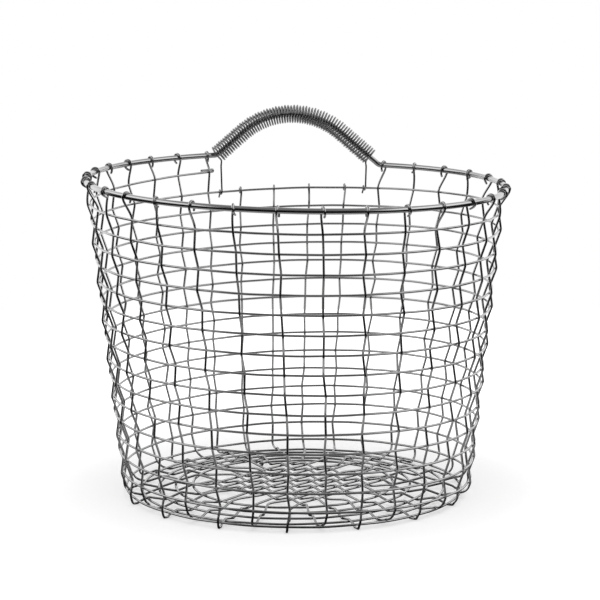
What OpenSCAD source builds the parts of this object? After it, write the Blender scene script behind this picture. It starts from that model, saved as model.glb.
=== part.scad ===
/* [Rim] */
// Diameter of the rim, to the middle of its rod
rim_d = 360; // [330:1:390]
// Thickness of the rim rod
rim_rod_d = 5; // [4:0.1:6]
// Height of the rim rod's middle above the table, at the front
rim_h = 271; // [250:1:290]
// How far the rim drops on its way round from one end of the handle to the other
rim_fall = 9.6; // [0:0.2:12]

/* [Handle] */
// Distance between the two bends where the rod leaves the rim
bow_w = 149.5; // [142:0.5:158]
// How far the middle between the two bends lies to the right
bow_mid = 2.1; // [-4:0.1:4]
// Height of the bow's top above the rim
bow_h = 42.6; // [39:0.2:46]
// Slope of the bow's two straight legs
bow_slope = 41; // [38:1:46]
// Length that each bend takes up along the rim and along the leg
bow_bend = 2.6; // [2.4:0.1:6]
// Thickness of the wire that the grip is coiled from
coil_wire_d = 1.6; // [1.4:0.05:1.7]
// Diameter of the coiled grip, to the middle of its wire
coil_d = 15.4; // [13:0.1:17]
// Number of full curls in the grip
coil_curls = 64; // [56:1:66]
// Length along the bow from the left bend to the grip
coil_left = 0.6; // [0.5:0.1:12]
// Length along the bow from the grip to the right bend
coil_right = 11; // [1:0.1:20]

/* [Wall] */
// Thickness of the wire that is woven round the basket
weaver_d = 2; // [1.8:0.05:2.2]
// Thickness of the upright wires
upright_d = 2; // [1.8:0.05:2.2]
// Play between two wires that cross or clasp
touch_gap = 0.04; // [0.04:0.01:0.08]
// How far inside the rim's middle the weave starts
weave_inset = 3; // [1:0.5:6]
// Drop from the rim to the start of the first turn
first_drop = 16.8; // [14:0.2:20]
// Drop from turn to turn down the wall
wall_pitch = 16.8; // [15.6:0.1:18]
// Degrees that the uprights drift round between the rim and the foot
upright_drift = 2.4; // [0:0.1:4]
// Height by which the weaver rises towards its upper end
weaver_rise = 4; // [0:0.2:5]
// Azimuth of the first upright, counted from the front
first_azimuth = 201.2; // [198:0.2:204]
// Degrees by which the hand-set spacing of the uprights strays to one side
spacing_stray = 3.6; // [0:0.1:3.8]
// Degrees by which it sways from front to back
spacing_sway = 0.6; // [0:0.1:1]
// Degrees that each upright's end wraps round the rim rod
hook_wrap = 220; // [200:5:240]
// Distance between the two sides of such a hook, where they clasp the rim
hook_spread = 4.2; // [2.4:0.1:4.6]

/* [Base] */
// Diameter of the base at the foot of the wall
base_d = 300; // [280:1:320]
// Radius of the rounded foot between wall and base
foot_r = 9; // [6:0.5:14]
// Height of the weave above the table at the foot
foot_z = 2.31; // [2.31:0.01:5]
// How far an upright that runs outside the foot hangs below the weave there
foot_drop = 3; // [0:0.1:4]
// Slope at which the base rises towards its middle
base_rise = 3.5; // [1:0.1:5]
// Spacing of the turns across the base, as near as whole turns allow
base_pitch_aim = 15; // [13:0.1:17]
// Spacing of the crossed wires in the middle of the base
patch_step = 14.8; // [13.5:0.1:15.5]
// Room between the corners of the crossed middle and the innermost turn
patch_gap = 6; // [5.5:0.1:9]
// Azimuth that the crossed middle faces
patch_azimuth = 228.3; // [200:0.1:250]

/* [Hidden] */
// Wires that cross the middle of the base each way, and the uprights that they make with the odd one
patch_wires = 8;
uprights = 4 * patch_wires + 1;
// Sides of an upright's tube and of the coil's tube
tube_sides = 6;
// Steps in the outline of a rod, and in a full turn of a bent rod
rod_sides = 24;
bend_sides = 180;
// How much the ball between two stretches of rod stands out, and how deep their ends sit in it
ball_proud = 0.03;
ball_inset = 0.08;
// Sides of the weaver's outline
weaver_sides = 12;
// Rings per curl of the grip, and degrees from its top at which its wire comes in and goes out
curl_rings = 8;
coil_low = 135;
// Bends in one hook, and how far along the upright to the rim its end lies
hook_bends = 5;
hook_end = 0.5;
// Degrees that an upright's end wraps round the first turn, under the handle
loop_wrap = 240;
loop_bends = 5;
// Degrees before and behind the weaver at which a tightly led upright bends, and behind it at the foot
lead_angle = 28;
hang_angle = 60;
// Play between the crossed wires in the middle of the base
patch_play = 0.25;
// Degrees that the weaver runs on past the upright at each of its ends
weaver_spare = 1.2;
// Azimuths at which the spacing strays least, and sways most
stray_azimuth = 132;
sway_azimuth = 7;
steel = "silver";

rim_r = rim_d / 2;
wire_offset = (weaver_d + upright_d) / 2 + touch_gap;
// A bend is made of short straight stretches, whose flat inner sides clear the rod or wire
flat_r = upright_d / 2 * cos(180 / tube_sides);
hook_r = (rim_rod_d / 2 + flat_r + touch_gap) / cos(hook_wrap / hook_bends / 2);
loop_r = (weaver_d / 2 + flat_r + touch_gap) / cos(loop_wrap / loop_bends / 2);

// Side view of the weave: down the wall, round the foot and in along the base
weave_top = [rim_r - weave_inset, rim_h + rim_fall / 2 - first_drop];
foot_corner = [base_d / 2, foot_z];
wall_lean = atan2(weave_top.x - foot_corner.x, weave_top.y - foot_corner.y);
foot_turn = 90 - wall_lean + base_rise;
foot_cut = foot_r * tan(foot_turn / 2);
wall_len = norm(weave_top - foot_corner) - foot_cut;
foot_len = foot_r * foot_turn * PI / 180;
patch_half = (patch_wires - 1) / 2 * patch_step;
inner_r = patch_half * sqrt(2) + patch_gap;
base_len = (base_d / 2 - inner_r) / cos(base_rise) - foot_cut;
wall_turns = wall_len / wall_pitch;
turns = round(wall_turns + (foot_len + base_len) / base_pitch_aim);
base_pitch = (foot_len + base_len) / (turns - wall_turns);
inner_z = foot_z + (base_d / 2 - inner_r) * tan(base_rise);

// Bow of the handle: a leg, an arc and a leg in an upright plane, over two bends of unlike height
function bow_end(side) =
    let (x = bow_mid + side * bow_w / 2)
    [x, sqrt(pow(rim_r, 2) + pow(bow_bend, 2) - pow(x, 2)), rim_h - side * rim_fall / 2];
function rim_end(side) =
    asin(side * bow_end(side).x / norm([rim_r, bow_bend])) + atan(bow_bend / rim_r);
bow_across = bow_end(1) - bow_end(-1) + [0, 0, rim_fall];
bow_x = bow_across / norm(bow_across);
bow_y = cross([0, 0, 1], bow_x);
bow_r = (norm(bow_across) / 2 * tan(bow_slope) - bow_h) / (1 / cos(bow_slope) - 1);
bow_leg = (norm(bow_across) / 2 - bow_r * sin(bow_slope)) / cos(bow_slope);
left_leg = bow_leg - rim_fall / 2 / sin(bow_slope);
right_leg = bow_leg + rim_fall / 2 / sin(bow_slope);
bow_arc = bow_r * 2 * bow_slope * PI / 180;
bow_len = left_leg + bow_arc + right_leg;
coil_len = bow_len - coil_left - coil_right;
eyelet_r = (weaver_d + coil_wire_d) / 2 + touch_gap;

function unit(v) = v / norm(v);
function mix(a, b, share) = a + (b - a) * share;
function clamp(v, low, high) = min(max(v, low), high);

// Directions at an azimuth: out from the middle, and round in the sense of growing azimuth
function outward(azimuth) = [sin(azimuth), -cos(azimuth), 0];
function around(azimuth) = [cos(azimuth), sin(azimuth), 0];

// Point of the side view, as radius and height, at a length down the weave
function weave_side(s) =
    let (
        bent = clamp((s - wall_len) / foot_r * 180 / PI, 0, foot_turn),
        flat = max(s - wall_len - foot_len, 0),
        down = min(s, wall_len)
    )
    weave_top
    - down * [sin(wall_lean), cos(wall_lean)]
    + foot_r * [cos(wall_lean + bent) - cos(wall_lean), sin(wall_lean) - sin(wall_lean + bent)]
    - flat * [cos(base_rise), -sin(base_rise)];

// Length down the weave after a number of turns
function weave_length(turn) =
    turn * wall_pitch + max(turn - wall_turns, 0) * (base_pitch - wall_pitch);

// Degrees by which the weave's outward side has turned from level towards the table
function weave_facing(turn) =
    wall_lean + clamp((weave_length(turn) - wall_len) / foot_r * 180 / PI, 0, foot_turn);

// Azimuth of an upright at the rim, and of the weaver's upper end
function rim_azimuth(i) =
    let (even = first_azimuth + i * 360 / uprights)
    even
    + spacing_stray * (1 + cos(even - stray_azimuth))
    + spacing_sway * cos(2 * (even - sway_azimuth));
seam = rim_azimuth(0) - weaver_spare;

// The weaver is a chain of half turns, each in its own slanting plane, that meet left and right.
// The first one slants more, so that the upper end rises.
function side_joint(j) =
    let (azimuth = 90 + 180 * j, p = weave_side(weave_length(max(azimuth - seam, 0) / 360)))
    [p.x * sin(azimuth), 0, p.y + (j == 0 ? 2 * weaver_rise / (1 - sin(seam - 180)) : 0)];
function weaver_at(azimuth) =
    let (
        j = floor((azimuth - 90) / 180),
        a = side_joint(j),
        b = side_joint(j + 1),
        mid = (a + b) / 2,
        angle = azimuth - 90 - 180 * j
    )
    mid + (a - mid) * cos(angle) + [0, norm(b - a) / 2 * sin(angle) * (j % 2 == 0 ? 1 : -1), 0];

// Uprights 1 to 32 leave the crossed middle by its four sides; upright 0 starts at the innermost turn
function exit_number(i) = (i + 1) % (4 * patch_wires);
function exit_azimuth(i) =
    let (
        number = i == 0 ? 1.5 : exit_number(i),
        side = floor(number / patch_wires),
        step = number - side * patch_wires - (patch_wires - 1) / 2
    )
    patch_azimuth + 90 * side + asin(step * patch_step / inner_r) + (i > uprights - 3 ? 360 : 0);

// Azimuth of upright i where it crosses the weaver for the given time
function crossing_azimuth(i, turn) =
    let (
        s = weave_length(turn + (rim_azimuth(i) - seam) / 360),
        inset = clamp((base_d / 2 - weave_side(s).x) / (base_d / 2 - inner_r), 0, 1),
        on_wall = rim_azimuth(i) + upright_drift * min(s / wall_len, 1)
    )
    360 * turn + (s > wall_len ? mix(on_wall, exit_azimuth(i), inset) : on_wall);

// Side of the weave on which upright i passes: 1 outside or below, -1 inside or above
function passes(i, turn) = (i + uprights * turn) % 2 == 0 ? -1 : 1;
function weave_normal(azimuth) =
    let (facing = weave_facing((azimuth - seam) / 360))
    outward(azimuth) * cos(facing) - [0, 0, sin(facing)];
function weave_down(azimuth) =
    let (facing = weave_facing((azimuth - seam) / 360))
    -outward(azimuth) * sin(facing) - [0, 0, cos(facing)];

// An upright is led tightly where it runs outside the foot, and where it leaves the weave for the rim
function tight(i, turn) =
    let (s = weave_length((crossing_azimuth(i, turn) - seam) / 360))
    passes(i, turn) > 0
        ? s > wall_len - wall_pitch && s < wall_len + foot_len + base_pitch
        : turn == 0;

// Middle line of an upright at a crossing, as pairs of a point and the direction across it
function crossing(i, turn) =
    let (
        azimuth = crossing_azimuth(i, turn),
        out = passes(i, turn) * weave_normal(azimuth),
        hang = passes(i, turn) > 0 ? foot_share(azimuth) : 0,
        leads = tight(i, turn) ? [mix(lead_angle, hang_angle, hang), -lead_angle] : [0],
        r = tight(i, turn) ? (weaver_d / 2 + flat_r + touch_gap) / cos(lead_angle) : wire_offset
    )
    [
        for (lead = leads)
            let (at = weaver_at(azimuth) + r * (out * cos(lead) + weave_down(azimuth) * sin(lead)))
            [lead > 0 && hang > 0 ? hung(at, hang) : at, around(azimuth)]
    ];

// Share of a full turn's reach by which a crossing is near the foot, and the point as it hangs there
function foot_share(azimuth) =
    let (s = weave_length((azimuth - seam) / 360) - wall_len - foot_len / 2)
    clamp(2 - 4 * abs(s) / base_pitch, 0, 1);
function hung(at, share) = [at.x, at.y, max(flat_r, at.z - foot_drop * share)];

// Middle of the rim rod at an azimuth
function rim_point(azimuth) =
    [
        rim_r * sin(azimuth),
        -(cos(azimuth) > 0 ? norm([rim_r, rim_fall / 2]) : rim_r) * cos(azimuth),
        rim_h - rim_fall / 2 * (cos(azimuth) > 0 ? sin(azimuth) : sign(sin(azimuth)))
    ];
function under_handle(i) =
    let (azimuth = rim_azimuth(i) - 540)
    azimuth > bow_bend / rim_r * 180 / PI - rim_end(1) && azimuth < rim_end(-1);

// A bend round a rod or wire: from one side over the top and down the other side
function clasp(middle, side, up, along, r, first, wrap, bends, spread) = [
    for (k = [0 : bends])
        let (angle = first + wrap * k / bends)
        [
            middle + r * (side * cos(angle) + up * sin(angle)) + along * spread * (k / bends - 0.5),
            along
        ]
];
function rim_hook(i) =
    let (
        azimuth = hook_azimuth(i),
        along = around(azimuth),
        hook = clasp(
            rim_point(azimuth), -passes(i, 0) * outward(azimuth), [0, 0, 1], along,
            hook_r, 90 - hook_wrap / 2, hook_wrap, hook_bends, hook_spread
        ),
        below = crossing(i, 0),
        beside = mix(below[len(below) - 1][0], hook[0][0], hook_end)
    )
    concat(hook, [[beside + along * (upright_d + 3 * touch_gap), along]]);

// A hook keeps clear of the bends into the bow
function hook_azimuth(i) =
    let (
        room = hook_spread / 2 / rim_r * 180 / PI,
        azimuth = rim_azimuth(i)
    )
    azimuth > 360 && azimuth < 540 ? min(azimuth, 540 - rim_end(1) - room) : azimuth;
function turn_hook(i) =
    let (
        azimuth = crossing_azimuth(i, 0),
        normal = weave_normal(azimuth),
        along = around(azimuth)
    )
    clasp(
        weaver_at(azimuth), passes(i, 0) * normal, cross(normal, along), along,
        loop_r, 0, loop_wrap, loop_bends, 0
    );

// Middle line of one upright, from the base to its end
function upright_line(i) = concat(
    [for (turn = [turns - 1 : -1 : under_handle(i) ? 1 : 0]) each crossing(i, turn)],
    under_handle(i) ? turn_hook(i) : rim_hook(i)
);
function reversed(line) = [for (k = [len(line) - 1 : -1 : 0]) line[k]];
function turned(line) = [for (p = line) [p[0], -p[1]]];

// Crossed middle: wires 0 to 7 run one way and wires 8 to 15 the other, over and under by turns
function upright_of_exit(number) = number < 2 ? number + 4 * patch_wires - 1 : number - 1;
function patch_line(w) =
    let (
        across_run = w >= patch_wires,
        facing = patch_azimuth + (across_run ? 90 : 0),
        m = w % patch_wires,
        middle = (patch_wires - 1) / 2,
        lift = (upright_d + patch_play) / 2
    )
    [
        for (k = [0 : patch_wires - 1])
            let (
                other = across_run ? patch_wires - 1 - k : k,
                over = (m + other + turns + 1) % 2 == 0 ? 1 : -1
            )
            [
                (middle - k) * patch_step * outward(facing)
                + (m - middle) * patch_step * around(facing)
                + [0, 0, inner_z + lift * (across_run ? -over : over)],
                around(facing)
            ]
    ];

// Tube along a line of points, each with the direction in which its first corner lies
module tube(line, d) {
    n = len(line);
    points = [
        for (k = [0 : n - 1])
            let (
                at = line[k][0],
                across = line[k][1],
                along = unit(
                    (k > 0 ? unit(at - line[k - 1][0]) : [0, 0, 0])
                    + (k < n - 1 ? unit(line[k + 1][0] - at) : [0, 0, 0])
                ),
                x = unit(across - (across * along) * along),
                y = cross(along, x)
            )
            for (c = [0 : tube_sides - 1])
                at + d / 2 * (x * cos(c * 360 / tube_sides) + y * sin(c * 360 / tube_sides))
    ];
    walls = [
        for (k = [0 : n - 2], c = [0 : tube_sides - 1])
            let (
                a = k * tube_sides + c,
                b = k * tube_sides + (c + 1) % tube_sides
            )
            each [[a, a + tube_sides, b], [b, a + tube_sides, b + tube_sides]]
    ];
    ends = [
        for (c = [1 : tube_sides - 2])
            let (last = (n - 1) * tube_sides)
            each [[0, c, c + 1], [last, last + c + 1, last + c]]
    ];
    polyhedron(points, concat(walls, ends));
}

// Stands its children at a point, with their X and Z axes in the given directions
module placed(at, x, z) {
    y = cross(z, x);
    multmatrix([
        [x.x, y.x, z.x, at.x],
        [x.y, y.y, z.y, at.y],
        [x.z, y.z, z.z, at.z],
        [0, 0, 0, 1]
    ])
        children();
}

// Ball where two stretches of rod meet, with its poles along the rod
module rod_ball(d) {
    sphere(d = d + 2 * ball_proud, $fn = rod_sides);
}

// Round rod that starts at a point, heads one way and bends towards a side
module bent_rod(start, heading, towards, r, angle, d, sides = rod_sides) {
    x = -unit(towards);
    inset = ball_inset / r * 180 / PI;
    placed(start - r * x, x, cross(x, unit(heading))) {
        rotate([0, 0, inset])
            rotate_extrude(angle = angle - 2 * inset, $fn = bend_sides)
                translate([r, 0])
                    circle(d = d, $fn = sides);
        translate([r, 0, 0])
            rotate([-90, 0, 0])
                rod_ball(d);
    }
}

// Straight round rod from one point to another, with a ball at either or both ends
module straight_rod(start, end, d, end_ball) {
    z = unit(end - start);
    placed(start, unit(cross(z, abs(z.z) > 0.9 ? [1, 0, 0] : [0, 0, 1])), z) {
        translate([0, 0, ball_inset])
            cylinder(h = norm(end - start) - 2 * ball_inset, d = d, $fn = rod_sides);
        rod_ball(d);
        if (end_ball)
            translate([0, 0, norm(end - start)])
                rod_ball(d);
    }
}

// Middle line of the bow, with its direction and its upward side, at a length from the left bend
function bow_angle(s) = bow_slope - clamp((s - left_leg) / bow_r * 180 / PI, 0, 2 * bow_slope);
function bow_along(s) = bow_x * cos(bow_angle(s)) + [0, 0, sin(bow_angle(s))];
function bow_up(s) = -bow_x * sin(bow_angle(s)) + [0, 0, cos(bow_angle(s))];
function bow_point(s) =
    bow_end(-1)
    + min(s, left_leg) * bow_along(0)
    + bow_r * (bow_up(clamp(s, left_leg, left_leg + bow_arc)) - bow_up(0))
    + max(s - left_leg - bow_arc, 0) * bow_along(s);

// Bend between the rim and a leg of the bow, on the left (-1) or the right (1)
module rim_bend(side) {
    from = rim_point(180 - side * rim_end(side));
    in = unit(bow_end(side) - from);
    out = side < 0 ? bow_along(0) : -bow_along(bow_len);
    turn = acos(in * out);
    bent_rod(from, in, out - (out * in) * in, bow_bend / tan(turn / 2), turn, rim_rod_d);
}

module rim_rod() {
    left = rim_point(270);
    right = rim_point(90);
    back_left = 180 + rim_end(-1);
    color(steel) {
        bent_rod(left, [0, -1, 0], right - left, norm(right - left) / 2, 180, rim_rod_d);
        bent_rod(right, [0, 1, 0], [-1, 0, 0], rim_r, 90 - rim_end(1), rim_rod_d);
        bent_rod(
            rim_point(back_left), around(back_left), -outward(back_left), rim_r, 270 - back_left,
            rim_rod_d
        );
        rim_bend(-1);
        rim_bend(1);
        straight_rod(bow_point(bow_bend), bow_point(left_leg), rim_rod_d, false);
        bent_rod(bow_point(left_leg), bow_along(0), -bow_up(0), bow_r, 2 * bow_slope, rim_rod_d);
        straight_rod(
            bow_point(left_leg + bow_arc), bow_point(bow_len - bow_bend), rim_rod_d, true
        );
    }
}

// Curls of the grip, from low on the inner side of the left leg to low on the outer side of the right
coil_rings = coil_curls * curl_rings + 2 * coil_low * curl_rings / 360;
function coil_angle(k) = k * 360 / curl_rings - coil_low;
function coil_at(k) = coil_left + coil_len * k / coil_rings;
function coil_out(k) = bow_up(coil_at(k)) * cos(coil_angle(k)) + bow_y * sin(coil_angle(k));
function coil_point(k) = bow_point(coil_at(k)) + coil_d / 2 * coil_out(k);

// Each end of the coil's wire drops to the weaver's first turn and clasps it from below
function tail_azimuth(side) =
    let (x = coil_point(side < 0 ? 0 : coil_rings).x)
    seam + 360 - (seam - 180) + (side < 0 ? 1 : -1) * asin(abs(x) / (rim_r - weave_inset));
function tail_line(side) =
    let (
        azimuth = tail_azimuth(side),
        hooked = weaver_at(azimuth),
        normal = weave_normal(azimuth),
        along = around(azimuth),
        up = cross(normal, along),
        top = coil_point(side < 0 ? 0 : coil_rings),
        bend = clasp(hooked, side * normal, -up, along, eyelet_r, 0, 180, 4, 0),
        tip = bend[4][0] + coil_wire_d * up
    )
    concat(
        [for (share = [0.12, 0.5]) [mix(top, bend[0][0], share), along]], bend, [[tip, along]]
    );

module grip_coil() {
    curls = [for (k = [0 : coil_rings]) coil_point(k)];
    apart = [
        for (k = [0 : coil_rings - curl_rings], other = [k + curl_rings / 2 : coil_rings])
            norm(curls[k] - curls[other])
    ];
    echo(least_gap_of_the_coil = min(apart) - coil_wire_d);
    color(steel)
        tube(
            concat(
                reversed(tail_line(-1)),
                [for (k = [0 : coil_rings]) [curls[k], bow_along(coil_at(k))]],
                tail_line(1)
            ),
            coil_wire_d
        );
}

module weaver() {
    first_joint = floor((seam - 90) / 180) + 1;
    finish = crossing_azimuth(0, turns) + weaver_spare;
    last_joint = floor((finish - 90) / 180);
    color(steel) {
        weaver_part(seam, 90 + 180 * first_joint);
        for (j = [first_joint : last_joint - 1])
            weaver_part(90 + 180 * j, 270 + 180 * j);
        weaver_part(90 + 180 * last_joint, finish);
    }
}

// Stretch of the weaver within one half turn
module weaver_part(from, to) {
    j = floor((from - 90) / 180);
    mid = (side_joint(j) + side_joint(j + 1)) / 2;
    start = weaver_at(from);
    inward = unit(mid - start);
    level = cross(unit(side_joint(j + 1) - side_joint(j)), [0, j % 2 == 0 ? 1 : -1, 0]);
    bent_rod(
        start, cross(level, inward), inward, norm(mid - start), to - from, weaver_d, weaver_sides
    );
}

// One long wire that makes two uprights and crosses the middle of the base
module upright_pair(w) {
    near = upright_of_exit(w);
    far = upright_of_exit(w < patch_wires ? 3 * patch_wires - 1 - w : 5 * patch_wires - 1 - w);
    color(steel)
        tube(
            concat(reversed(upright_line(near)), patch_line(w), turned(upright_line(far))),
            upright_d
        );
}

// Short wire that makes the one extra upright and clasps the innermost turn
module odd_upright() {
    azimuth = crossing_azimuth(0, turns);
    normal = weave_normal(azimuth);
    along = around(azimuth);
    foot_clasp = clasp(
        weaver_at(azimuth), passes(0, turns) * normal, cross(along, normal), along,
        loop_r, 0, loop_wrap, loop_bends, 0
    );
    color(steel)
        tube(concat(reversed(foot_clasp), upright_line(0)), upright_d);
}

rim_rod();
grip_coil();
weaver();
odd_upright();
upright_pair(0);  // upright_pair_01
upright_pair(1);  // upright_pair_02
upright_pair(2);  // upright_pair_03
upright_pair(3);  // upright_pair_04
upright_pair(4);  // upright_pair_05
upright_pair(5);  // upright_pair_06
upright_pair(6);  // upright_pair_07
upright_pair(7);  // upright_pair_08
upright_pair(8);  // upright_pair_09
upright_pair(9);  // upright_pair_10
upright_pair(10);  // upright_pair_11
upright_pair(11);  // upright_pair_12
upright_pair(12);  // upright_pair_13
upright_pair(13);  // upright_pair_14
upright_pair(14);  // upright_pair_15
upright_pair(15);  // upright_pair_16
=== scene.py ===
"""A round wire locker basket of bright steel wire.

One long wire spirals down the wall and in across the base, woven round thirty-three uprights. The uprights hook
over a heavy rim rod, whose back rises into a handle with a grip coiled round it. Lengths are in metres and angles
in degrees. Azimuth 0 is the front, and it grows to the right.
"""

import logging
import math
from dataclasses import dataclass, field
from enum import Enum
from functools import cached_property

import bpy
import numpy as np
from mathutils import Matrix, Vector


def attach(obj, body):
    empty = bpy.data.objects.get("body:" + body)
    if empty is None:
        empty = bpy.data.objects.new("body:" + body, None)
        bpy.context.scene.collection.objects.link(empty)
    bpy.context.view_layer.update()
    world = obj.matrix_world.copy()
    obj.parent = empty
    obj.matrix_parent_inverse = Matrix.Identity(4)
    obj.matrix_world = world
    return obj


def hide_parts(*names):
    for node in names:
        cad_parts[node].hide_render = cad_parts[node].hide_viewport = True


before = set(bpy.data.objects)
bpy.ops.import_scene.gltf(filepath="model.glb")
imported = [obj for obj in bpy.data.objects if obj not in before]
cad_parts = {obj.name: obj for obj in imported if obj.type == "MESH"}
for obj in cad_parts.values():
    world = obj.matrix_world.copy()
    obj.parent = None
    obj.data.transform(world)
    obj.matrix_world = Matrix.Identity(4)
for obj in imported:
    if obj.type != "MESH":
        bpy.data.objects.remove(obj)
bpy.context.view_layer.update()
LOG = logging.getLogger("basket")
BODY = "root"
UP = np.array([0.0, 0.0, 1.0])


class Slot(Enum):
    """Material slots of the record."""

    WIRE = "wire_steel"
    RIM = "rim_steel"
    COIL = "coil_steel"


def unit(v: np.ndarray) -> np.ndarray:
    """Vectors scaled to length one.

    Args:
        v: Vectors along the last axis.

    Returns:
        v / |v|.
    """
    return v / np.maximum(np.linalg.norm(v, axis=-1, keepdims=True), 1e-12)


def outward(azimuth: np.ndarray) -> np.ndarray:
    """Level direction out from the middle: (sin a, -cos a, 0).

    Args:
        azimuth: Azimuths in degrees.

    Returns:
        One direction for each azimuth.
    """
    a = np.radians(azimuth)
    return np.stack([np.sin(a), -np.cos(a), np.zeros_like(a)], -1)


def around(azimuth: np.ndarray) -> np.ndarray:
    """Level direction of growing azimuth: (cos a, sin a, 0).

    Args:
        azimuth: Azimuths in degrees.

    Returns:
        One direction for each azimuth.
    """
    a = np.radians(azimuth)
    return np.stack([np.cos(a), np.sin(a), np.zeros_like(a)], -1)


def kinked(phase: np.ndarray, sharpness: float) -> np.ndarray:
    """Wave that a springy wire takes over and under others: asin(k cos(pi u)) / asin(k).

    Args:
        phase: Number of crossings passed, u.
        sharpness: k, from 0 for a cosine to nearly 1 for straight flanks with tight bends.

    Returns:
        The wave, 1 at even and -1 at odd crossings.
    """
    return np.arcsin(sharpness * np.cos(np.pi * phase)) / math.asin(sharpness)


@dataclass(frozen=True)
class Path:
    """Middle line of a wire: points, and at each a direction across the wire that keeps its skin from twisting."""

    points: np.ndarray
    across: np.ndarray

    def reverse(self) -> "Path":
        """The same line run from its other end."""
        return Path(self.points[::-1], self.across[::-1])

    def flip(self) -> "Path":
        """The same line with its across directions turned round."""
        return Path(self.points, -self.across)

    def heading(self, index: int) -> np.ndarray:
        """Direction of the line at its first (0) or last (-1) point."""
        step = self.points[1] - self.points[0] if index == 0 else self.points[-1] - self.points[-2]
        return unit(step)


def joined(*paths: Path) -> Path:
    """One line out of several, each of which starts where the one before it ends.

    Args:
        *paths: The stretches, in order.

    Returns:
        The joined line, with each shared point kept once.
    """
    points = np.concatenate([paths[0].points, *[p.points[1:] for p in paths[1:]]])
    across = np.concatenate([paths[0].across, *[p.across[1:] for p in paths[1:]]])
    return Path(points, across)


def bridge(a: Path, b: Path, pull: float, count: int) -> Path:
    """Smooth stretch from the end of one line to the start of the next.

    The curve is the cubic with the two ends' headings, each scaled by pull times the distance:
    p(t) = (2t^3 - 3t^2 + 1) p0 + (t^3 - 2t^2 + t) m0 + (3t^2 - 2t^3) p1 + (t^3 - t^2) m1.

    Args:
        a: Line before.
        b: Line after.
        pull: How far the ends keep their heading.
        count: Number of steps.

    Returns:
        The stretch, with both end points.
    """
    p0, p1 = a.points[-1], b.points[0]
    reach = pull * np.linalg.norm(p1 - p0)
    m0, m1 = a.heading(-1) * reach, b.heading(0) * reach
    t = np.linspace(0, 1, count + 1)[:, None]
    points = (
        (2 * t**3 - 3 * t**2 + 1) * p0
        + (t**3 - 2 * t**2 + t) * m0
        + (3 * t**2 - 2 * t**3) * p1
        + (t**3 - t**2) * m1
    )
    return Path(points, unit((1 - t) * a.across[-1] + t * b.across[0]))


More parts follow.
